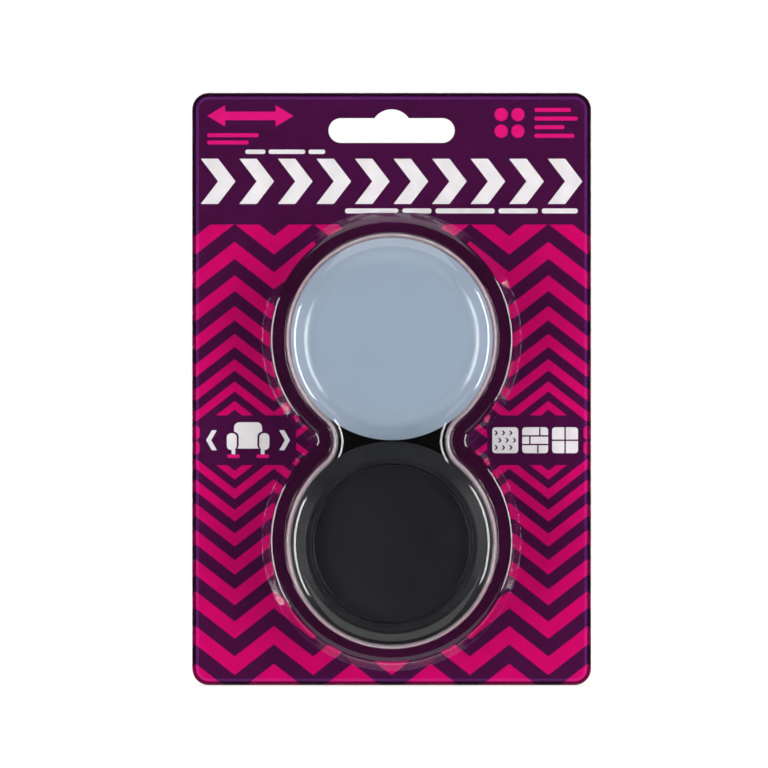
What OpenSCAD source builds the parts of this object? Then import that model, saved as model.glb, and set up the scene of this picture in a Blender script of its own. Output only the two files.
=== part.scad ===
// Hang pack of furniture sliders: a printed card, a clear two-lobed blister and two stacks of two discs.
// The pack is drawn lying on its back, with the bubble upwards, and then stood up:
// +X to the right, +Z up the card, the bubble towards -Y and the centre of the hang slot at the origin.

/* [Card] */
// Width of the card
card_w = 120; // [100:0.5:150]
// Height of the card above the foot of the bubble
header_h = 35.3; // [29:0.1:80]
// Corner radius of the card
card_corner = 5; // [3:0.1:10]
// Thickness of the board
card_t = 0.8; // [0.5:0.1:1.5]

/* [Hang slot] */
// Length of the slot, tip to tip
slot_l = 38; // [28:0.5:50]
// Width of the slot
slot_w = 7.5; // [6:0.1:10]
// Radius of the round notch in the slot's upper edge
notch_r = 6.4; // [5.5:0.1:8]
// Centre of the slot below the card's top edge
slot_drop = 11.3; // [10:0.1:14]
// Margin by which the clear sheet's slot is larger than the card's
slot_margin = 0.3; // [0.1:0.1:1]

/* [Slider] */
// Outer diameter of a slider
disc_d = 60; // [48:0.5:66]
// Height of a slider, from its sliding face to its cup rim
disc_h = 9.2; // [8:0.1:12]
// Gap between stacked sliders, and to the card and the blister
disc_gap = 0.3; // [0.2:0.1:1]
// Gap between the edges of the two stacks
stack_gap = 0.5; // [0.3:0.1:4]

/* [Glide] */
// Height of the glide
glide_h = 5.2; // [4.2:0.1:6]
// Run of the sloping flank round the sliding face
flank_w = 5.4; // [4.5:0.1:8]
// Radius between the sliding face and the flank
shoulder_r = 7; // [3:0.5:8]
// Height of the straight edge above the flank
glide_edge_h = 0.6; // [0.2:0.1:1.2]
// Thickness of the glide's floor
floor_t = 2.2; // [1.4:0.1:3]
// Width of the glide's rim, on which the cup lands
land_w = 2.2; // [1.4:0.1:3]

/* [Cup] */
// Width of the cup's rim, from its outer edge to the recess
rim_w = 6.2; // [5:0.1:9]
// Width of the crest of the rim
crest_w = 1.6; // [1.2:0.1:2.5]
// Radius between the crest and the rim's sloping flank
crest_fillet = 1.2; // [0.5:0.1:1.2]
// Radius of the crest's inner edge
lip_fillet = 0.3; // [0.1:0.1:0.5]
// Height of the straight outer edge
cup_edge_h = 0.8; // [0.2:0.1:1.5]
// Radius between a straight outer edge and its flank, on cup and glide, held within the edge's height
edge_fillet = 0.5; // [0.1:0.1:1]
// Depth of the recess for a furniture leg
recess_depth = 2.6; // [1.6:0.1:3.2]
// Run by which the recess narrows towards its floor
recess_lean = 0.5; // [0.2:0.1:1]
// Fillet between the wall and the floor of the recess
recess_fillet = 0.7; // [0.3:0.1:1.2]
// Extra depth in the middle of the dished floor
recess_dish = 0.3; // [0.1:0.1:1]
// Side gap between the cup's plug and the hollow of the glide
plug_gap = 0.15; // [0.1:0.05:0.5]

/* [Bond] */
// Thickness of the adhesive film under the plug
bond_t = 0.15; // [0.1:0.05:0.4]
// Inset of the film from the plug's edge
bond_inset = 2; // [1:0.5:8]

/* [Blister] */
// Thickness of the clear sheet
sheet_t = 0.4; // [0.3:0.05:0.6]
// Gap between a slider's edge and its pocket wall
pocket_gap = 0.6; // [0.4:0.1:1.5]
// Lean of the pocket wall from upright, in degrees
wall_draft = 4; // [2:0.5:8]
// Outer radius of the bubble's top edge, held in to clear the cup's rim
top_fillet = 5; // [2:0.1:5.5]
// Height of the low step round the bubble
step_h = 4; // [3:0.1:8]
// Width of the step's shelf
shelf_w = 4.2; // [3:0.1:6]
// Run of the step's slope
step_run = 2.7; // [1.5:0.1:4]
// Fillet of the step's edge
step_fillet = 3; // [0.8:0.1:3.4]
// Fillet where the wall meets the shelf and the step meets the flange
foot_fillet = 0.3; // [0.2:0.1:0.8]
// Flat left in the neck's inner corner at the foot of the bubble
neck_land = 0.15; // [0.1:0.05:3]
// Width of the flat ring that joins the bubble to the flange
bubble_lap = 1.5; // [1:0.1:2]
// Margin between the foot of the bubble and the card's bottom edge
bubble_margin = 4.5; // [3:0.1:12]
// Fillet of the flange's outer edge
flange_fillet = 0.25; // [0.1:0.05:0.25]
// Width of the strip along the flange's outer edge
edge_w = 1.4; // [1:0.1:2]

/* [Hidden] */
$fn = 96;
arc_steps = 6;
// Distance by which a cutter reaches past what it cuts
over = 1;
// Step between the skins of the neck and of the lobes
seam_step = 0.02;
// Distance by which the neck's halves reach into the lobes and into each other
seam_lap = 0.1;

disc_r = disc_d / 2;

// Heights above the card's back
rear_z = card_t + disc_gap;
front_z = rear_z + disc_h + disc_gap;
flange_z = card_t + sheet_t;
bubble_h = front_z + disc_h + disc_gap - card_t;

// Radii of the bubble's outer skin about the middle of a lobe
wall_top_r = disc_r + pocket_gap + sheet_t;
wall_foot_r = wall_top_r + (bubble_h - step_h) * tan(wall_draft);
step_r = wall_foot_r + shelf_w;
foot_r = step_r + step_run;

// The lobes and the two neck arcs touch each other at every height,
// because their radii always add up to the distance between their centres.
lobe_y = disc_r + stack_gap / 2;
step_slope = atan2(step_h, step_run);
ring_r = foot_r + (foot_fillet + sheet_t) * tan(step_slope / 2);
reach = ring_r + neck_land;
neck_x = sqrt(reach * reach - lobe_y * lobe_y);
top_round = min(top_fillet, rim_w - crest_w + pocket_gap);
crown_r = wall_top_r - top_round - bubble_lap;

// The card is as tall as the bubble and the margins below and above it
card_h = bubble_margin + 2 * (foot_r + lobe_y) + header_h;
bubble_y = bubble_margin + foot_r + lobe_y - card_h / 2;
slot_y = card_h / 2 - slot_drop;

// Radii of the glide's hollow, which keeps to the flank, and of the cup's plug in it
face_r = disc_r - flank_w;
hollow_r = disc_r - land_w;
plug_r = hollow_r - plug_gap;
plug_z = floor_t + bond_t;
plug_foot_r = plug_r - (hollow_r - face_r) * (glide_h - plug_z) / (glide_h - floor_t);
recess_r = disc_r - rim_w;

// Path of the bubble's outer skin between two radii, from the flange to the top, and its fillets
function bubble_path(from, to) = [
    [from, 0],
    [foot_r, 0],
    [step_r, step_h],
    [wall_foot_r, step_h],
    [wall_top_r, bubble_h],
    [to, bubble_h]
];
bubble_fillets = [0, foot_fillet, step_fillet, foot_fillet, top_round, 0];

// Section of the strip along the flange's outer edge, measured outwards from the card's edge
edge_outline = rounded([[-edge_w, -sheet_t], [0, -sheet_t], [0, 0], [-edge_w, 0]], [0, 0, flange_fillet, 0]);

// Paths with round corners and sheets of even thickness along them

function unit(v) = v / norm(v);
function left(v) = [-v.y, v.x];
function turn(u, v) = atan2(u.x * v.y - u.y * v.x, u * v);

// Direction of the leg that ends at point i, and of the one that starts there
function leg_in(path, i) = unit(path[i] - path[i - 1]);
function leg_out(path, i) = unit(path[i + 1] - path[i]);

// Round corner at p between directions u and v
function corner(p, u, v, r) =
    let (
        angle = turn(u, v),
        side = sign(angle),
        start = p - u * r * tan(abs(angle) / 2),
        centre = start + left(u) * r * side,
        from = atan2(start.y - centre.y, start.x - centre.x),
        step = angle / arc_steps
    )
    [for (i = [0:arc_steps]) centre + r * [cos(from + i * step), sin(from + i * step)]];

function rounded(path, fillets) = [
    for (i = [0:len(path) - 1])
        each fillets[i] > 0 ? corner(path[i], leg_in(path, i), leg_out(path, i), fillets[i]) : [path[i]]
];

// The path moved to its left by t
function moved(path, t) = [
    for (i = [0:len(path) - 1])
        let (
            a = left(i > 0 ? leg_in(path, i) : leg_out(path, i)),
            b = left(i < len(path) - 1 ? leg_out(path, i) : leg_in(path, i))
        )
        path[i] + (a + b) * t / (1 + a * b)
];
function moved_fillets(path, fillets, t) = [
    for (i = [0:len(path) - 1])
        fillets[i] > 0 ? fillets[i] - t * sign(turn(leg_in(path, i), leg_out(path, i))) : 0
];

// Outline of a sheet of thickness t that lies to the left of a path
function sheet_outline(path, fillets, t) =
    let (inner = rounded(moved(path, t), moved_fillets(path, fillets, t)))
    concat(rounded(path, fillets), [for (i = [len(inner) - 1:-1:0]) inner[i]]);

// Card and hang slot

module rounded_plate(w, h, r) {
    square([w - 2 * r, h], center = true);
    square([w, h - 2 * r], center = true);
    for (x = [-1, 1], y = [-1, 1])
        translate([x * (w / 2 - r), y * (h / 2 - r)])
            circle(r);
}

module slot_outline(margin) {
    half = slot_l / 2 - slot_w / 2;
    translate([0, slot_y]) {
        square([2 * half, slot_w + 2 * margin], center = true);
        for (x = [-half, half])
            translate([x, 0])
                circle(slot_w / 2 + margin);
        intersection() {
            circle(notch_r + margin);
            translate([-half, 0])
                square([2 * half, notch_r + margin + over]);
        }
    }
}

module flat_card() {
    linear_extrude(card_t)
        difference() {
            rounded_plate(card_w, card_h, card_corner);
            slot_outline(0);
        }
}

// Blister: the two-lobed bubble and the flange over the card, which is cut flush with it

module neck_outline() {
    polygon([[neck_x, 0], [0, lobe_y], [-neck_x, 0], [0, -lobe_y]]);
}

// Right half of the neck, larger all round by the lap
module neck_half() {
    tip_x = neck_x + seam_lap * reach / lobe_y;
    side_y = (tip_x + seam_lap) * lobe_y / neck_x;
    polygon([[tip_x, 0], [-seam_lap, side_y], [-seam_lap, -side_y]]);
}

// Section of the bubble's sheet between two radii about the middle of a lobe, with both its skins set in
function bubble_outline(from, to, inset) =
    let (path = bubble_path(from, to))
    sheet_outline(moved(path, inset), moved_fillets(path, bubble_fillets, inset), sheet_t - 2 * inset);

module neck_cutter(half) {
    translate([0, 0, -sheet_t - over])
        linear_extrude(bubble_h + sheet_t + 2 * over)
            if (half)
                neck_half();
            else
                neck_outline();
}

module lobe() {
    difference() {
        translate([0, lobe_y, 0])
            rotate_extrude()
                polygon(bubble_outline(ring_r + bubble_lap, crown_r, 0));
        neck_cutter(false);
    }
    translate([0, lobe_y, bubble_h - sheet_t])
        cylinder(h = sheet_t, r = crown_r + bubble_lap / 2);
}

// The neck's wall is the lobe's wall turned inside out about the middle of the neck's arc.
// It ends inside the lobes' wall and is a hair thinner, so that the seam between them is a clean edge.
module neck() {
    intersection() {
        translate([neck_x, 0, 0])
            rotate_extrude()
                polygon([for (p = bubble_outline(reach - neck_land / 2, 0, seam_step)) [reach - p.x, p.y]]);
        neck_cutter(true);
    }
}

module bubble() {
    translate([0, bubble_y, 0]) {
        lobe();
        mirror([0, 1, 0])
            lobe();
        neck();
        mirror([1, 0, 0])
            neck();
    }
}

// Hole in the flange, a little larger than the bubble's foot, so that their edges lap
module bubble_hole() {
    difference() {
        union() {
            neck_outline();
            for (y = [-lobe_y, lobe_y])
                translate([0, y])
                    circle(ring_r + bubble_lap / 2);
        }
        for (x = [-neck_x, neck_x])
            translate([x, 0])
                circle(neck_land);
    }
}

module flange() {
    translate([0, 0, -sheet_t])
        linear_extrude(sheet_t)
            difference() {
                rounded_plate(card_w - edge_w, card_h - edge_w, card_corner - edge_w / 2);
                slot_outline(slot_margin);
                translate([0, bubble_y])
                    bubble_hole();
            }
}

module flange_edge() {
    straight_x = card_w / 2 - card_corner;
    straight_y = card_h / 2 - card_corner;
    for (side = [0, 180])
        rotate([0, 0, side]) {
            translate([card_w / 2, straight_y, 0])
                rotate([90, 0, 0])
                    linear_extrude(2 * straight_y)
                        polygon(edge_outline);
            rotate([0, 0, 90])
                translate([card_h / 2, straight_x, 0])
                    rotate([90, 0, 0])
                        linear_extrude(2 * straight_x)
                            polygon(edge_outline);
            translate([straight_x, straight_y, 0])
                edge_corner(0);
            translate([straight_x, -straight_y, 0])
                edge_corner(-90);
        }
}

module edge_corner(from) {
    rotate([0, 0, from])
        rotate_extrude(angle = 90)
            translate([card_corner, 0])
                polygon(edge_outline);
}

module flat_blister() {
    translate([0, 0, flange_z]) {
        flange();
        flange_edge();
        bubble();
    }
}

// Slider: a slippery dish, a rubber leg cup in it and the adhesive film between them.
// Each is drawn with the sliding face down, on the level of the floor.

module flat_glide() {
    skin = [[0, 0], [face_r, 0], [disc_r, glide_h - glide_edge_h], [disc_r, glide_h]];
    rotate_extrude()
        polygon(concat(
            rounded(skin, [0, shoulder_r, min(edge_fillet, glide_edge_h), 0]),
            [[hollow_r, glide_h], [face_r, floor_t], [0, floor_t]]
        ));
}

module flat_cup() {
    recess_z = disc_h - recess_depth;
    skin = [
        [disc_r, glide_h],
        [disc_r, glide_h + cup_edge_h],
        [recess_r + crest_w, disc_h],
        [recess_r, disc_h],
        [recess_r - recess_lean, recess_z],
        [0, recess_z - recess_dish]
    ];
    rotate_extrude()
        polygon(concat(
            [[0, plug_z], [plug_foot_r, plug_z], [plug_r, glide_h]],
            rounded(skin, [0, min(edge_fillet, cup_edge_h), crest_fillet, lip_fillet, recess_fillet, 0])
        ));
}

module flat_bond() {
    translate([0, 0, floor_t])
        cylinder(h = bond_t, r = plug_foot_r - bond_inset);
}

// Stands the pack up and puts the hang slot's centre at the origin
module stood() {
    translate([0, 0, -slot_y])
        rotate([90, 0, 0])
            children();
}

// Puts a slider in its pocket: the upper stack shows its sliding faces, the lower one its cups
module pocketed(stack, place) {
    z = place == "front" ? front_z : rear_z;
    stood()
        if (stack == "upper")
            translate([0, bubble_y + lobe_y, z + disc_h])
                mirror([0, 0, 1])
                    children();
        else
            translate([0, bubble_y - lobe_y, z])
                children();
}

module card() {
    color("#45103f")
        stood()
            flat_card();
}

module blister() {
    color([0.92, 0.95, 0.97, 0.3])
        stood()
            flat_blister();
}

module glide(stack, place) {
    color("#98aac0")
        pocketed(stack, place)
            flat_glide();
}

module cup(stack, place) {
    color("#242427")
        pocketed(stack, place)
            flat_cup();
}

module bond(stack, place) {
    color("#d8d2bd")
        pocketed(stack, place)
            flat_bond();
}

card();
blister();
for (stack = ["upper", "lower"], place = ["front", "rear"]) {
    glide(stack, place);
    cup(stack, place);
    bond(stack, place);
}
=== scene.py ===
import math

import bmesh
import bpy
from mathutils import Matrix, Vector
from mathutils.geometry import delaunay_2d_cdt


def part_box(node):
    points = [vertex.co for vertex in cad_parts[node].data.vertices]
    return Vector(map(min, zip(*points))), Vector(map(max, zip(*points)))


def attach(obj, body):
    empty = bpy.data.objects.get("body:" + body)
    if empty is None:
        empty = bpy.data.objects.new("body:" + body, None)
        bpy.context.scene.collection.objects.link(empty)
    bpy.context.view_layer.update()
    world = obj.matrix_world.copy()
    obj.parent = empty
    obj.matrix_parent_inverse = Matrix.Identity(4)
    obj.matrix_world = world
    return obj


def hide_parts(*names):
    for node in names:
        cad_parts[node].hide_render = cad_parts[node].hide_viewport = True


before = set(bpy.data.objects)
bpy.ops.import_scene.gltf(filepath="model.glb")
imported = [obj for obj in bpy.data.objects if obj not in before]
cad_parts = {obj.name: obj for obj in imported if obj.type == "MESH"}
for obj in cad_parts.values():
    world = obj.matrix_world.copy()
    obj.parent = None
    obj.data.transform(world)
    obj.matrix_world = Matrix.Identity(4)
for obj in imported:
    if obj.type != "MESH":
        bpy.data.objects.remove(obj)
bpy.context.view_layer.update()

# Sizes are in millimetres, as in the part's source. Shapes are drawn on the card lying on its back:
# x to the right, y up from the card's middle, z to the front from the card's back.
MM = 0.001

card_low, card_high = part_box("card")
blister_low, blister_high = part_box("blister")
CARD_W = (card_high.x - card_low.x) / MM
CARD_H = (card_high.z - card_low.z) / MM
CARD_T = (card_high.y - card_low.y) / MM
CARD_MIDDLE = (card_high.z + card_low.z) / 2 / MM
CARD_CORNER = 5.0

SLOT_L = 38.0
SLOT_W = 7.5
NOTCH_R = 6.4
SLOT_Y = -CARD_MIDDLE
SLOT_MARGIN = 0.3

DISC_R = 30.0
DISC_H = 9.2
DISC_GAP = 0.3
LOBE_Y = DISC_R + 0.25
REAR_Z = CARD_T + DISC_GAP
FRONT_Z = REAR_Z + DISC_H + DISC_GAP

# The clear sheet's outer skin lies where the solid's does. Its underside keeps a hair off the card.
SOLID_SHEET_T = 0.4
SHEET_T = 0.35
FLANGE_Z = CARD_T + SOLID_SHEET_T
BUBBLE_H = -blister_low.y / MM - FLANGE_Z
STEP_H = 4.0
STEP_RUN = 2.7
WALL_TOP_R = DISC_R + 0.6 + SOLID_SHEET_T
WALL_FOOT_R = WALL_TOP_R + (BUBBLE_H - STEP_H) * math.tan(math.radians(4))
STEP_R = WALL_FOOT_R + 4.2
FOOT_R = STEP_R + STEP_RUN
FOOT_FILLET = 0.3
STEP_FILLET = 3.0
TOP_FILLET = 5.0
RING_R = FOOT_R + (FOOT_FILLET + SOLID_SHEET_T) * math.tan(math.atan2(STEP_H, STEP_RUN) / 2)
REACH = RING_R + 0.15
NECK_X = math.sqrt(REACH ** 2 - LOBE_Y ** 2)
BUBBLE_Y = 4.5 + FOOT_R + LOBE_Y - CARD_H / 2
EDGE_W = 1.4

# Distance of the extra edge loop that keeps a flat beside a round evenly shaded
SUPPORT = 0.25
# Edges that turn by more degrees than this are shaded as sharp
SHARP_EDGE = 35


def stood(x, y, z):
    """A point of the card lying on its back, in the standing pack's frame and in metres."""
    return Vector((x, -z, y + CARD_MIDDLE)) * MM


class Solid:
    """Faces in millimetres, welded into one closed mesh."""

    def __init__(self):
        self.points = []
        self.faces = []
        self.inks = []
        self.known = {}

    def point(self, p):
        """The index of a point, shared by all faces that meet there."""
        key = tuple(round(c, 4) for c in p)
        if key not in self.known:
            self.known[key] = len(self.points)
            self.points.append(p)
        return self.known[key]

    def face(self, corners, ink=0):
        """A face, unless its corners fall together."""
        ids = list(dict.fromkeys(self.point(p) for p in corners))
        if len(ids) > 2:
            self.faces.append(ids)
            self.inks.append(ink)

    def loft(self, rings):
        """A skin through rings of as many points each."""
        for low, high in zip(rings, rings[1:]):
            for i in range(len(low)):
                j = (i + 1) % len(low)
                self.face([low[i], low[j], high[j], high[i]])

    def piece(self, name, materials, place=stood):
        """The faces as a smoothly shaded object, with place putting each point into the frame."""
        mesh = bpy.data.meshes.new(name)
        mesh.from_pydata([place(*p) for p in self.points], [], self.faces)
        mesh.polygons.foreach_set("material_index", self.inks)
        shape = bmesh.new()
        shape.from_mesh(mesh)
        bmesh.ops.recalc_face_normals(shape, faces=shape.faces)
        shape.to_mesh(mesh)
        shape.free()
        mesh.shade_smooth()
        mesh.set_sharp_from_angle(angle=math.radians(SHARP_EDGE))
        for material in materials:
            mesh.materials.append(material)
        piece = bpy.data.objects.new(name, mesh)
        bpy.context.scene.collection.objects.link(piece)
        return piece


# Outlines in the plane

def arc(x, y, r, start, end, steps):
    """Points of an arc from start to end degrees, without the last one."""
    turns = [math.radians(start + (end - start) * i / steps) for i in range(steps)]
    return [(x + r * math.cos(a), y + r * math.sin(a)) for a in turns]


def disc_shape(x, y, r, steps=32):
    return arc(x, y, r, 0, 360, steps)


def box_shape(x, y, w, h, r=0.0, steps=6):
    """A box about a point, with round corners."""
    left, right = x - w / 2, x + w / 2
    low, high = y - h / 2, y + h / 2
    if r == 0:
        return [(left, low), (right, low), (right, high), (left, high)]
    shape = []
    for turn, (sx, sy) in enumerate([(1, 1), (-1, 1), (-1, -1), (1, -1)]):
        cx = x + sx * (w / 2 - r)
        cy = y + sy * (h / 2 - r)
        end = math.radians(90 * turn + 90)
        shape += arc(cx, cy, r, 90 * turn, 90 * turn + 90, steps)
        shape.append((cx + r * math.cos(end), cy + r * math.sin(end)))
    return shape


def bar_shape(x0, x1, y, h):
    """A level bar with round ends."""
    return box_shape((x0 + x1) / 2, y, x1 - x0, h, 0.45 * h)


def chevron_shape(x, y, w, h, t):
    """A band bent into an angle that points right."""
    left, right = x - w / 2, x + w / 2
    low, high = y - h / 2, y + h / 2
    return [(left, low), (left + t, low), (right, y), (left + t, high), (left, high), (right - t, y)]


def double_arrow_shape(x, y, w, h, head, t):
    """A level arrow with a head at each end."""
    neck = w / 2 - head
    right = [(neck, -t / 2), (neck, -h / 2), (w / 2, 0), (neck, h / 2), (neck, t / 2)]
    left = [(-px, -py) for px, py in right]
    return [(x + px, y + py) for px, py in right + left]


def zigzag_shape(y0, y1, wave, rise):
    """A level zigzag band across the card, between two heights."""
    count = math.ceil(CARD_W / wave) + 1
    line = [((i - count) * wave / 2, rise if i % 2 else -rise) for i in range(2 * count + 1)]
    return [(x, y0 + v) for x, v in line] + [(x, y1 + v) for x, v in reversed(line)]


def card_shape(grow):
    """The card's outline, moved outwards."""
    return box_shape(0, 0, CARD_W + 2 * grow, CARD_H + 2 * grow, CARD_CORNER + grow, 12)


def slot_shape(margin):
    """The hang slot: a bar with round ends and a round notch in its upper edge."""
    r = SLOT_W / 2 + margin
    notch_r = NOTCH_R + margin
    half = SLOT_L / 2 - SLOT_W / 2
    reach = math.degrees(math.asin(r / notch_r))
    shape = arc(half, 0, r, -90, 90, 20) + [(half, r)]
    shape += arc(0, 0, notch_r, reach, 180 - reach, 24) + [(-notch_r * math.cos(math.radians(reach)), r)]
    shape += arc(-half, 0, r, 90, 270, 20) + [(-half, -r)]
    return [(x, SLOT_Y + y) for x, y in shape]


def bubble_shape(r, lobe_steps=120, neck_steps=44):
    """The bubble's outline whose skin lies r from the middle of a lobe; the neck's arcs touch the lobes'."""
    lean = math.degrees(math.atan2(LOBE_Y, NECK_X))
    shape = arc(0, LOBE_Y, r, -lean, 180 + lean, lobe_steps)
    shape += arc(-NECK_X, 0, REACH - r, lean, -lean, neck_steps)
    shape += arc(0, -LOBE_Y, r, 180 - lean, 360 + lean, lobe_steps)
    shape += arc(NECK_X, 0, REACH - r, 180 + lean, 180 - lean, neck_steps)
    return [(x, BUBBLE_Y + y) for x, y in shape]


def cut_plane(shapes):
    """Triangles of the plane cut along every outline, each with the indices of the shapes it lies in."""
    points = []
    faces = []
    for shape in shapes:
        faces.append(list(range(len(points), len(points) + len(shape))))
        points += [Vector(p) for p in shape]
    cut, _, triangles, sources, _, owners = delaunay_2d_cdt(points, [], faces, 1, 1e-5)
    exact = [points[source[0]] if source else p for p, source in zip(cut, sources)]
    return [([exact[i] for i in triangle], owner) for triangle, owner in zip(triangles, owners)]


# Sections with round corners

def rounded(corners, radii, steps=10):
    """A path with round corners, and with an edge loop on its straights beside each round."""
    path = []
    for i, (corner, radius) in enumerate(zip(corners, radii)):
        if radius == 0:
            path.append(corner)
            continue
        u = (corner - corners[i - 1]).normalized()
        v = (corners[i + 1] - corner).normalized()
        angle = math.atan2(u.x * v.y - u.y * v.x, u.dot(v))
        start = corner - u * radius * math.tan(abs(angle) / 2)
        centre = start + Vector((-u.y, u.x)) * math.copysign(radius, angle)
        first = math.atan2(start.y - centre.y, start.x - centre.x)
        for k in range(steps + 1):
            a = first + angle * k / steps
            path.append(centre + radius * Vector((math.cos(a), math.sin(a))))
    looped = path[:1]
    for a, b in zip(path, path[1:]):
        if (b - a).length > 4 * SUPPORT:
            along = (b - a).normalized() * SUPPORT
            looped += [a + along, b - along]
        looped.append(b)
    return looped


def moved(corners, radii, t):
    """The path moved to its left by t, with its radii."""
    legs = [(b - a).normalized() for a, b in zip(corners, corners[1:])]
    new_corners = []
    new_radii = []
    for i, (corner, radius) in enumerate(zip(corners, radii)):
        u = legs[max(i - 1, 0)]
        v = legs[min(i, len(legs) - 1)]
        a = Vector((-u.y, u.x))
        b = Vector((-v.y, v.x))
        new_corners.append(corner + (a + b) * t / (1 + a.dot(b)))
        turn = u.x * v.y - u.y * v.x
        new_radii.append(radius - math.copysign(t, turn) if radius else 0)
    return new_corners, new_radii


def path_of(*corners):
    return [Vector(c) for c in corners]


# Materials

def map_range(tree, value, start, end, low, high):
    """A node value between start and end, led to low and high."""
    span = tree.nodes.new("ShaderNodeMapRange")
    for name, number in zip(("From Min", "From Max", "To Min", "To Max"), (start, end, low, high)):
        span.inputs[name].default_value = number
    tree.links.new(value, span.inputs["Value"])
    return span.outputs["Result"]


def calculate(tree, operation, a, b):
    """A value worked out from two others."""
    node = tree.nodes.new("ShaderNodeMath")
    node.operation = operation
    tree.links.new(a, node.inputs[0])
    tree.links.new(b, node.inputs[1])
    return node.outputs["Value"]


class Finish:
    """A node material about one Principled shader."""

    def __init__(self, name):
        self.material = bpy.data.materials.new(name)
        self.material.use_nodes = True
        self.tree = self.material.node_tree
        self.shader = self.tree.nodes["Principled BSDF"]

    def node(self, kind, **values):
        """A new node with some of its settings."""
        node = self.tree.nodes.new(kind)
        for name, value in values.items():
            setattr(node, name, value)
        return node

    def link(self, a, b):
        self.tree.links.new(a, b)

    def noise(self, scale, detail=3.0, stretch=(1, 1, 1)):
        """Noise over the piece, with scale features to the metre."""
        coords = self.node("ShaderNodeTexCoord")
        mapping = self.node("ShaderNodeMapping")
        noise = self.node("ShaderNodeTexNoise")
        mapping.inputs["Scale"].default_value = stretch
        noise.inputs["Scale"].default_value = scale
        noise.inputs["Detail"].default_value = detail
        self.link(coords.outputs["Object"], mapping.inputs["Vector"])
        self.link(mapping.outputs["Vector"], noise.inputs["Vector"])
        return noise.outputs["Fac"]

    def along_y(self, kind):
        """The Y part of the piece's own Normal or Object coordinates."""
        coords = self.node("ShaderNodeTexCoord")
        split = self.node("ShaderNodeSeparateXYZ")
        self.link(coords.outputs[kind], split.inputs["Vector"])
        return split.outputs["Y"]

    def facing(self):
        """How squarely the surface lies to the front or back, from 0 on an upright wall to 1."""
        size = self.node("ShaderNodeMath", operation="ABSOLUTE")
        self.link(self.along_y("Normal"), size.inputs[0])
        return size.outputs["Value"]

    def larger(self, a, b):
        """The larger of two values."""
        return calculate(self.tree, "MAXIMUM", a, b)

    def spread(self, value, low, high, start=0.3, end=0.7):
        """A value from start to end, as noise mostly is, spread from low to high."""
        return map_range(self.tree, value, start, end, low, high)

    def curve(self, value, points):
        """A value led through points."""
        curve = self.node("ShaderNodeFloatCurve")
        line = curve.mapping.curves[0]
        for _ in points[2:]:
            line.points.new(0.5, 0.5)
        for point, place in zip(line.points, points):
            point.location = place
            point.handle_type = "VECTOR"
        curve.mapping.update()
        self.link(value, curve.inputs["Value"])
        return curve.outputs["Value"]

    def shade(self, value, dark, light):
        """Two colours mixed by a value; the light one may come from a node."""
        mix = self.node("ShaderNodeMix", data_type="RGBA")
        mix.inputs["A"].default_value = (*dark, 1)
        if isinstance(light, bpy.types.NodeSocket):
            self.link(light, mix.inputs["B"])
        else:
            mix.inputs["B"].default_value = (*light, 1)
        self.link(value, mix.inputs["Factor"])
        return mix.outputs["Result"]

    def bump(self, value, distance):
        """Normals of a surface raised by a value times a distance in metres."""
        bump = self.node("ShaderNodeBump")
        bump.inputs["Strength"].default_value = 1
        bump.inputs["Distance"].default_value = distance
        self.link(value, bump.inputs["Height"])
        return bump.outputs["Normal"]

    def set(self, name, value):
        """A socket of the shader, from a number or a node."""
        socket = self.shader.inputs[name]
        if isinstance(value, bpy.types.NodeSocket):
            self.link(value, socket)
        else:
            socket.default_value = value


def linear(r, g, b):
    """A colour given as it shows on a screen, from 0 to 255, as light."""
    def value(v):
        v /= 255
        return v / 12.92 if v <= 0.04045 else ((v + 0.055) / 1.055) ** 2.4
    return value(r), value(g), value(b)


def scaled(colour, k):
    """A colour times a number, at most white."""
    return tuple(min(c * k, 1) for c in colour)


def ink(name, colour):
    """Printing ink on coated board: slightly mottled, with the board's fibres under a thin varnish."""
    finish = Finish(name)
    mottle = finish.spread(finish.noise(260, 4), 0, 1)
    fibre = finish.noise(2600, 2)
    finish.set("Base Color", finish.shade(mottle, scaled(colour, 0.93), scaled(colour, 1.06)))
    finish.set("Roughness", finish.spread(finish.noise(700), 0.45, 0.6))
    finish.set("Specular IOR Level", 0.03)
    finish.set("Normal", finish.bump(fibre, 0.00002))
    return finish.material


def board(name, colour, stretch):
    """Bare grey-white board with fibres."""
    finish = Finish(name)
    fibre = finish.noise(1500, 6, stretch)
    tone = finish.spread(fibre, 0, 1)
    finish.set("Base Color", finish.shade(tone, scaled(colour, 0.9), scaled(colour, 1.04)))
    finish.set("Roughness", finish.spread(fibre, 0.75, 0.92))
    finish.set("Normal", finish.bump(fibre, 0.00003))
    return finish.material


def glide_plastic():
    """Slippery blue-grey plastic, satin, with faint flow marks and a fine grain."""
    colour = linear(146, 161, 177)
    finish = Finish("glide_plastic")
    flow = finish.spread(finish.noise(28, 3), 0, 1)
    grain = finish.noise(3200, 2)
    finish.set("Base Color", finish.shade(flow, scaled(colour, 0.975), scaled(colour, 1.02)))
    finish.set("Roughness", finish.spread(finish.noise(300, 4), 0.22, 0.23))
    finish.set("Specular IOR Level", 0.9)
    finish.set("Normal", finish.bump(grain, 0.000003))
    return finish.material


def cup_rubber():
    """Black rubber with a dull bloom and a fine grain."""
    finish = Finish("cup_rubber")
    bloom = finish.spread(finish.noise(60, 5), 0, 1)
    grain = finish.noise(2400, 3)
    finish.set("Base Color", finish.shade(bloom, (0.0066, 0.0068, 0.0082), (0.0115, 0.0118, 0.0136)))
    finish.set("Roughness", finish.spread(finish.noise(420, 4), 0.36, 0.44))
    finish.set("Specular IOR Level", 0.24)
    finish.set("Normal", finish.bump(grain, 0.00002))
    return finish.material


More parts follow.
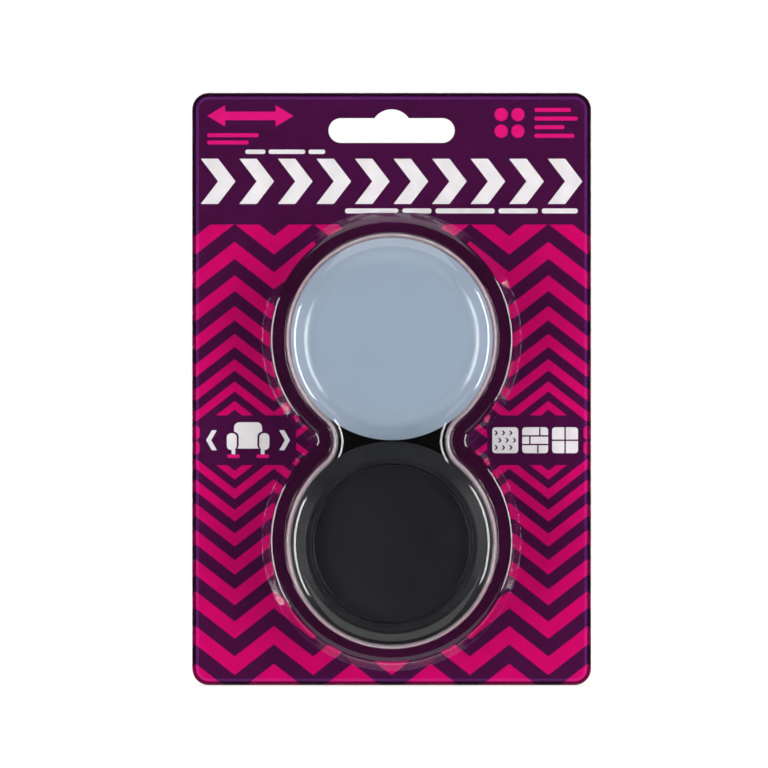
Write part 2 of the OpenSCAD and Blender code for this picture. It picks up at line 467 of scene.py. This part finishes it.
def bond_film():
    """Dried adhesive, cloudy and yellowish."""
    finish = Finish("bond_film")
    cloud = finish.spread(finish.noise(300, 4), 0, 1)
    finish.set("Base Color", finish.shade(cloud, (0.52, 0.46, 0.34), (0.72, 0.68, 0.55)))
    finish.set("Roughness", finish.spread(cloud, 0.35, 0.6))
    finish.set("Normal", finish.bump(cloud, 0.00003))
    return finish.material


def clear_sheet():
    """Thin clear plastic, gently wavy from forming.

    It is milky where the tall walls turn into the top, and a pink painted there stands in for the reflection
    of the card's print.
    Shadow rays pass through it, so that the card below stays lit.
    """
    finish = Finish("clear_sheet")
    wave = finish.noise(38, 1)
    haze = finish.noise(240, 3)
    clear_at_slope = [(0, 0.98), (0.09, 0.95), (0.2, 0.8), (0.48, 0.74), (0.72, 1), (1, 1)]
    turn = finish.curve(finish.facing(), clear_at_slope)
    shelf = -(FLANGE_Z + STEP_H) * MM
    low = finish.spread(finish.along_y("Object"), 0, 1, shelf - 0.003, shelf - 0.001)
    clear = finish.larger(turn, low)
    plain = finish.shade(haze, (0.97, 0.98, 0.985), (0.99, 0.995, 1))
    # Where the sheet is milky its colour turns pink: a painted reflection of the magenta print
    finish.set("Base Color", finish.shade(clear, (1, 0.5, 0.68), plain))
    finish.set("Roughness", finish.spread(haze, 0.015, 0.04))
    finish.set("Normal", finish.bump(wave, 0.00003))
    finish.set("IOR", 1.5)
    finish.set("Transmission Weight", clear)
    path = finish.node("ShaderNodeLightPath")
    passing = finish.node("ShaderNodeBsdfTransparent")
    mix = finish.node("ShaderNodeMixShader")
    finish.link(path.outputs["Is Shadow Ray"], mix.inputs["Fac"])
    finish.link(finish.shader.outputs["BSDF"], mix.inputs[1])
    finish.link(passing.outputs["BSDF"], mix.inputs[2])
    finish.link(mix.outputs["Shader"], finish.tree.nodes["Material Output"].inputs["Surface"])
    return finish.material


# Card: print in flat inks on the front, with painted shade and a painted highlight along its edge; bare
# board behind and in the cut edges

INKS = {
    "aubergine": linear(66, 11, 58),
    "magenta": linear(196, 2, 98),
    "pink": linear(212, 18, 116),
    "white": linear(225, 220, 222),
    "night": linear(55, 11, 45),
    # Not an ink: painted shade, near black, for the deep gap between the sliders in the bubble's neck
    "black": linear(15, 13, 15),
}
# Painted shade and a painted highlight along the card's edge: name, distance of the inner edge, share of the
# ink left, light added
EDGE_SHADE_AND_HIGHLIGHT = [("dark", 1.15, 0.28, (0, 0, 0)), ("light", 2.0, 1.0, (0.04, 0.01, 0.07))]
EDGE_SHADED_INKS = ("aubergine", "magenta")


def zigzags():
    """Bands on both sides of the bubble's neck, broader away from it."""
    heights = [2.1 * i + 0.105 * i * i for i in range(24)]
    bands = []
    for side in (-1, 1):
        for low, high in zip(heights[::2], heights[1::2]):
            y0, y1 = sorted((BUBBLE_Y + side * low, BUBBLE_Y + side * high))
            bands.append(("magenta", zigzag_shape(y0, y1, 23.6, 4.6 * side)))
    return bands


# Lines of bars in the card's head: ink, height above the card's middle, thickness, and the ends of each bar
HEAD_BARS = [
    ("white", 71.4, 1.3, [(-44, -38), (-37, -26), (-25, -20)]),
    ("white", 53.6, 1.5, [(-14, 2), (3.2, 12), (13.2, 31), (32.2, 44), (45.2, 56)]),
    ("pink", 76.4, 1.2, [(-55.5, -40)]),
    ("pink", 74.2, 1.2, [(-55.5, -43)]),
    ("pink", 84, 1.2, [(43, 54)]),
    ("pink", 81.4, 1.2, [(43, 56)]),
    ("pink", 78.8, 1.2, [(43, 52)]),
    ("pink", 76.2, 1.2, [(43, 55)]),
]
CHEVRON_COUNT = 10
CHEVRON_PITCH = 11.6
CHEVRON_Y = 62.5


def header():
    """A row of chevrons, lines of bars, a double arrow and four dots."""
    shapes = [("aubergine", box_shape(0, 70, CARD_W + 4, 41))]
    for i in range(CHEVRON_COUNT):
        x = (i - (CHEVRON_COUNT - 1) / 2) * CHEVRON_PITCH
        shapes.append(("white", chevron_shape(x, CHEVRON_Y, 10.4, 13.6, 5.2)))
    for colour, y, h, spans in HEAD_BARS:
        shapes += [(colour, bar_shape(x0, x1, y, h)) for x0, x1 in spans]
    shapes.append(("pink", double_arrow_shape(-42.5, 82.2, 26, 6.4, 5.4, 2.6)))
    shapes += [("pink", disc_shape(x, y, 2)) for x in (33, 38) for y in (77.6, 82.6)]
    return shapes


def armchair(x, y):
    """A chair seen from the front, on two discs, between two arrow heads."""
    arrow_head = chevron_shape(x + 11, y, 3.2, 6, 1.5)
    shapes = [
        ("white", box_shape(x, y + 2.6, 8.4, 5.6, 1.6)),
        ("white", box_shape(x, y - 1.0, 9.0, 3.0, 0.6)),
    ]
    for side in (-1, 1):
        leg_x = x + side * 4.4
        shapes.append(("aubergine", box_shape(x + side * 4.6, y - 0.2, 3.6, 5.6, 1.6)))
        shapes.append(("white", box_shape(x + side * 4.9, y - 0.4, 3.0, 5.0, 1.3)))
        shapes.append(("white", box_shape(leg_x, y - 3.4, 1.1, 1.6)))
        shapes.append(("pink", bar_shape(leg_x - 1.9, leg_x + 1.9, y - 4.8, 1.1)))
    shapes.append(("white", arrow_head))
    shapes.append(("white", [(2 * x - px, py) for px, py in reversed(arrow_head)]))
    return shapes


def floors(x, y):
    """Three floor samples: carpet, boards and tiles."""
    size = 7.8
    pitch = 9
    line = 0.45
    shapes = [("white", box_shape(x + pitch * i, y, size, size, 1.0)) for i in (-1, 0, 1)]
    for row in range(3):
        for col in range(3):
            tuft_x = x - pitch + 2.2 * (col - 1) + (0.55 if row % 2 else -0.55)
            shapes.append(("aubergine", chevron_shape(tuft_x, y + 2.2 * (row - 1), 1.1, 1.4, 0.55)))
    for row in (-1, 1):
        shapes.append(("aubergine", box_shape(x, y + 1.3 * row, size, line)))
    for dx, dy in [(1.4, 2.6), (-1.6, 0), (0.8, -2.6)]:
        shapes.append(("aubergine", box_shape(x + dx, y + dy, line, 2.4)))
    shapes.append(("aubergine", box_shape(x + pitch, y, size, line)))
    shapes.append(("aubergine", box_shape(x + pitch, y, line, size)))
    return shapes


# Place of the two pictures beside the bubble's neck
PANEL_X = 43.2


def print_shapes():
    """Flat ink shapes, and a black patch of painted shade in the bubble's neck, each over the ones before
    it.
    """
    shapes = zigzags()
    shapes.append(("night", bubble_shape(36.6, 60, 22)))
    # Painted shade: a black patch in the bubble's neck for the deep gap between the sliders
    shapes.append(("black", box_shape(0, BUBBLE_Y, 34, 14)))
    shapes += header()
    for x, picture in ((-PANEL_X, armchair), (PANEL_X, floors)):
        shapes.append(("aubergine", box_shape(x, BUBBLE_Y, 29, 15, 2.5)))
        shapes += picture(x, BUBBLE_Y)
    return shapes


def card_materials():
    """The inks, their copies with painted shade and a painted highlight along the card's edge, and the bare
    board.
    """
    materials = [ink(name, colour) for name, colour in INKS.items()]
    for tone, _, left, added in EDGE_SHADE_AND_HIGHLIGHT:
        for name in EDGE_SHADED_INKS:
            materials.append(ink(f"{name}_{tone}", [left * a + b for a, b in zip(INKS[name], added)]))
    materials.append(board("board_edge", (0.62, 0.59, 0.55), (0.3, 4, 0.3)))
    materials.append(board("board_back", (0.7, 0.68, 0.64), (1, 1, 0.8)))
    return materials


def printed_card():
    """The board with its print and with painted shade and highlight along its edge; the slot, the print's
    outlines and those of the painted edge are cut into its faces.
    """
    materials = card_materials()
    names = [material.name for material in materials]
    printed = print_shapes()
    lines = [card_shape(-line[1]) for line in EDGE_SHADE_AND_HIGHLIGHT]
    outlines = [card_shape(0), slot_shape(0)] + lines
    solid = Solid()
    edges = {}
    for corners, owners in cut_plane(outlines + [shape for _, shape in printed]):
        if 0 not in owners or 1 in owners:
            continue
        top = max(owners) - len(outlines)
        name = printed[top][0] if top >= 0 else "aubergine"
        # Near the card's edge the ink is swapped for its copy with painted shade or painted highlight
        tones = [line[0] for i, line in enumerate(EDGE_SHADE_AND_HIGHLIGHT) if 2 + i not in owners]
        if tones:
            name += "_" + tones[0]
        front = [(p.x, p.y, CARD_T) for p in corners]
        solid.face(front, names.index(name))
        solid.face([(p.x, p.y, 0) for p in reversed(corners)], names.index("board_back"))
        for a, b in zip(front, front[1:] + front[:1]):
            edges.setdefault(frozenset((solid.point(a), solid.point(b))), []).append((a, b))
    for sides in edges.values():
        if len(sides) == 1:
            a, b = sides[0]
            solid.face([a, b, (b[0], b[1], 0), (a[0], a[1], 0)], names.index("board_edge"))
    return solid.piece("printed_card", materials)


# Blister: one clear sheet with a two-lobed bubble and a flange over the card, cut flush with it

def clear_blister():
    """The sheet's outer and inner skin, joined along its outline and the hang slot."""
    solid = Solid()
    ring_r = (RING_R + REACH) / 2
    outer = path_of(
        (ring_r, 0), (FOOT_R, 0), (STEP_R, STEP_H),
        (WALL_FOOT_R, STEP_H), (WALL_TOP_R, BUBBLE_H), (24, BUBBLE_H)
    )
    radii = [0, FOOT_FILLET, STEP_FILLET, FOOT_FILLET, TOP_FILLET, 0]
    skins = [rounded(outer, radii), rounded(*moved(outer, radii, SHEET_T))]
    for skin in skins:
        rings = [[(x, y, FLANGE_Z + p.y) for x, y in bubble_shape(p.x)] for p in skin]
        solid.loft(rings)
        solid.face(rings[-1])

    edge = path_of((-EDGE_W, -SHEET_T), (0, -SHEET_T), (0, 0), (-EDGE_W, 0))
    edge = rounded(edge, [0, 0.05, 0.25, 0], 4)
    solid.loft([[(x, y, FLANGE_Z + p.y) for x, y in card_shape(p.x)] for p in edge])

    slot = slot_shape(SLOT_MARGIN)
    for corners, owners in cut_plane([card_shape(-EDGE_W), bubble_shape(ring_r), slot]):
        if owners == [0]:
            solid.face([(p.x, p.y, FLANGE_Z) for p in corners])
            solid.face([(p.x, p.y, FLANGE_Z - SHEET_T) for p in reversed(corners)])
    solid.loft([[(x, y, z) for x, y in slot] for z in (FLANGE_Z - SHEET_T, FLANGE_Z)])
    return solid.piece("clear_blister", [clear_sheet()])


# Sliders: a slippery dish below and a rubber leg cup above, turned about their axis

FACE_R = DISC_R - 5.4
LAND_Z = 5.2
HOLLOW_R = DISC_R - 2.2
FLOOR_Z = 2.2
PLUG_Z = FLOOR_Z + 0.15
PLUG_R = HOLLOW_R - 0.15
PLUG_FOOT_R = PLUG_R - (HOLLOW_R - FACE_R) * (LAND_Z - PLUG_Z) / (LAND_Z - FLOOR_Z)
RECESS_R = DISC_R - 6.2

GLIDE_PATH = path_of(
    (0, 0), (FACE_R, 0), (DISC_R, LAND_Z - 0.6), (DISC_R, LAND_Z),
    (HOLLOW_R, LAND_Z), (FACE_R, FLOOR_Z), (0, FLOOR_Z)
)
GLIDE_RADII = [0, 7.0, 0.5, 0.12, 0.15, 0.4, 0]
CUP_PATH = path_of(
    (0, PLUG_Z), (PLUG_FOOT_R, PLUG_Z), (PLUG_R, LAND_Z), (DISC_R, LAND_Z), (DISC_R, LAND_Z + 0.8),
    (RECESS_R + 1.6, DISC_H), (RECESS_R, DISC_H), (RECESS_R - 0.5, DISC_H - 2.6), (0, DISC_H - 2.9)
)
CUP_RADII = [0, 0.3, 0.2, 0.12, 0.5, 1.2, 0.3, 0.7, 0]


def turned(name, path, radii, material, place):
    """A solid turned about its axis, with its sliding face down."""
    solid = Solid()
    rings = [[(x, y, p.y) for x, y in disc_shape(0, 0, p.x, 144)] for p in rounded(path, radii)]
    solid.loft(rings)
    return solid.piece(name, [material], place)


def pocket(stack, depth):
    """Puts a slider in its pocket: the upper stack shows its sliding faces, the lower one its cups."""
    base = FRONT_Z if depth == "front" else REAR_Z
    if stack == "upper":
        return lambda x, y, z: stood(x, BUBBLE_Y + LOBE_Y + y, base + DISC_H - z)
    return lambda x, y, z: stood(x, BUBBLE_Y - LOBE_Y + y, base + z)


def dress(piece, body, node):
    """Puts a piece in the place of a solid."""
    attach(piece, body)
    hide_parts(node)


dress(printed_card(), "card", "card")
dress(clear_blister(), "blister", "blister")

plastic = glide_plastic()
rubber = cup_rubber()
film = bond_film()
for stack in ("upper", "lower"):
    for depth in ("front", "rear"):
        place = f"{stack}_{depth}"
        dish = turned(f"sliding_dish_{place}", GLIDE_PATH, GLIDE_RADII, plastic, pocket(stack, depth))
        dress(dish, f"slider_{place}", f"glide_{place}")
        cup = turned(f"leg_cup_{place}", CUP_PATH, CUP_RADII, rubber, pocket(stack, depth))
        dress(cup, f"slider_{place}", f"cup_{place}")
        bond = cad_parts[f"bond_{place}"].data
        bond.materials.clear()
        bond.materials.append(film)


# Stage: a pale floor under the pack, soft boxes to both sides and a white background

def seen(finish, strength):
    """White light that only the camera and mirrored or clear surfaces see."""
    path = finish.node("ShaderNodeLightPath")
    mirrored = finish.larger(path.outputs["Is Glossy Ray"], path.outputs["Is Transmission Ray"])
    any_ray = finish.larger(path.outputs["Is Camera Ray"], mirrored)
    level = finish.node("ShaderNodeMath", operation="MULTIPLY")
    glow = finish.node("ShaderNodeEmission")
    level.inputs[1].default_value = strength
    finish.link(any_ray, level.inputs[0])
    finish.link(level.outputs["Value"], glow.inputs["Strength"])
    return glow.outputs["Emission"]


def pale_floor():
    """A floor behind the card's front, which shows white and still takes the pack's shadow."""
    half = 0.6
    front = -0.004
    back = 0.45
    level = blister_low.z
    mesh = bpy.data.meshes.new("floor")
    corners = [(-half, front), (half, front), (half, back), (-half, back)]
    mesh.from_pydata([(x, y, level) for x, y in corners], [], [(0, 1, 2, 3)])
    floor = bpy.data.objects.new("floor", mesh)
    bpy.context.scene.collection.objects.link(floor)
    finish = Finish("floor")
    finish.set("Base Color", finish.shade(finish.noise(3), (0.43, 0.43, 0.43), (0.45, 0.45, 0.45)))
    finish.set("Roughness", 0.9)
    finish.set("Specular IOR Level", 0.0)
    add = finish.node("ShaderNodeAddShader")
    finish.link(finish.shader.outputs["BSDF"], add.inputs[0])
    finish.link(seen(finish, 0.64), add.inputs[1])
    finish.link(add.outputs["Shader"], finish.tree.nodes["Material Output"].inputs["Surface"])
    mesh.materials.append(finish.material)


# The room's soft light, what bounced rays see before the pack, and the span of Y that leads from it to white
AMBIENT = 0.07
DARK = 0.01
WORLD_RAYS = [("Is Glossy Ray", 0.55, 0.8), ("Is Transmission Ray", 0.1, 0.3)]


def studio_world():
    """White to the camera, straight or through clear sheets, with a soft fill.

    Rays that have bounced see white behind the pack and dark before it.
    """
    world = bpy.data.worlds.new("studio")
    bpy.context.scene.world = world
    world.use_nodes = True
    tree = world.node_tree
    path = tree.nodes.new("ShaderNodeLightPath").outputs
    coords = tree.nodes.new("ShaderNodeTexCoord")
    split = tree.nodes.new("ShaderNodeSeparateXYZ")
    level = tree.nodes.new("ShaderNodeValue").outputs["Value"]
    level.default_value = AMBIENT
    tree.links.new(coords.outputs["Generated"], split.inputs["Vector"])
    for ray, start, end in WORLD_RAYS:
        mix = tree.nodes.new("ShaderNodeMix")
        tree.links.new(path[ray], mix.inputs["Factor"])
        tree.links.new(level, mix.inputs["A"])
        tree.links.new(map_range(tree, split.outputs["Y"], start, end, DARK, 1), mix.inputs["B"])
        level = mix.outputs["Result"]
    # The world counts as one step more, so a ray that has only passed clear sheets is one step ahead of them
    straight = calculate(tree, "COMPARE", path["Ray Depth"], path["Transmission Depth"])
    straight.node.inputs[2].default_value = 1.5
    looked = calculate(tree, "MAXIMUM", path["Is Camera Ray"], path["Is Transmission Ray"])
    level = calculate(tree, "MAXIMUM", level, calculate(tree, "MULTIPLY", looked, straight))
    tree.links.new(level, tree.nodes["Background"].inputs["Strength"])
    tree.nodes["Background"].inputs["Color"].default_value = (1, 1, 1, 1)


def off_axis(degrees):
    """A level direction, that many degrees to the right of straight in front."""
    a = math.radians(degrees)
    return math.sin(a), -math.cos(a), 0


# Soft boxes: name, direction from the pack's middle, width, height, radiance, and how far the box is lifted
BOX_DISTANCE = 1.0
SOFT_BOXES = [
    ("left_box", off_axis(-56.8), 0.25, 0.95, 8.3, -0.14),
    ("right_box", off_axis(56.8), 0.25, 0.95, 7.9, 0.02),
    ("top_box", (0, -0.42, 0.9), 1.2, 1.6, 0.85, 0),
    ("low_box", (0, -0.77, -0.64), 1.2, 0.9, 0.6, 0),
    ("back_box", (0, 0.75, 0.66), 1.0, 0.5, 5.0, 0),
]


def soft_box(name, direction, width, height, radiance, lift):
    """A soft box that faces the pack from a direction."""
    lamp = bpy.data.lights.new(name, "AREA")
    lamp.shape = "RECTANGLE"
    lamp.size = width
    lamp.size_y = height
    lamp.energy = radiance * math.pi * width * height
    box = bpy.data.objects.new(name, lamp)
    bpy.context.scene.collection.objects.link(box)
    towards = Vector(direction).normalized()
    box.location = towards * BOX_DISTANCE + Vector((0, 0, CARD_MIDDLE * MM + lift))
    box.rotation_euler = towards.to_track_quat("Z", "Y").to_euler()


pale_floor()
studio_world()
for values in SOFT_BOXES:
    soft_box(*values)

camera_data = bpy.data.cameras.new("camera")
camera_data.sensor_width = 36
camera_data.lens = 148
camera = bpy.data.objects.new("camera", camera_data)
bpy.context.scene.collection.objects.link(camera)
camera.location = (-0.00229, -0.951, -0.0763)
camera.rotation_euler = (math.radians(90), 0, 0)
bpy.context.scene.camera = camera
bpy.context.scene.view_settings.view_transform = "Standard"
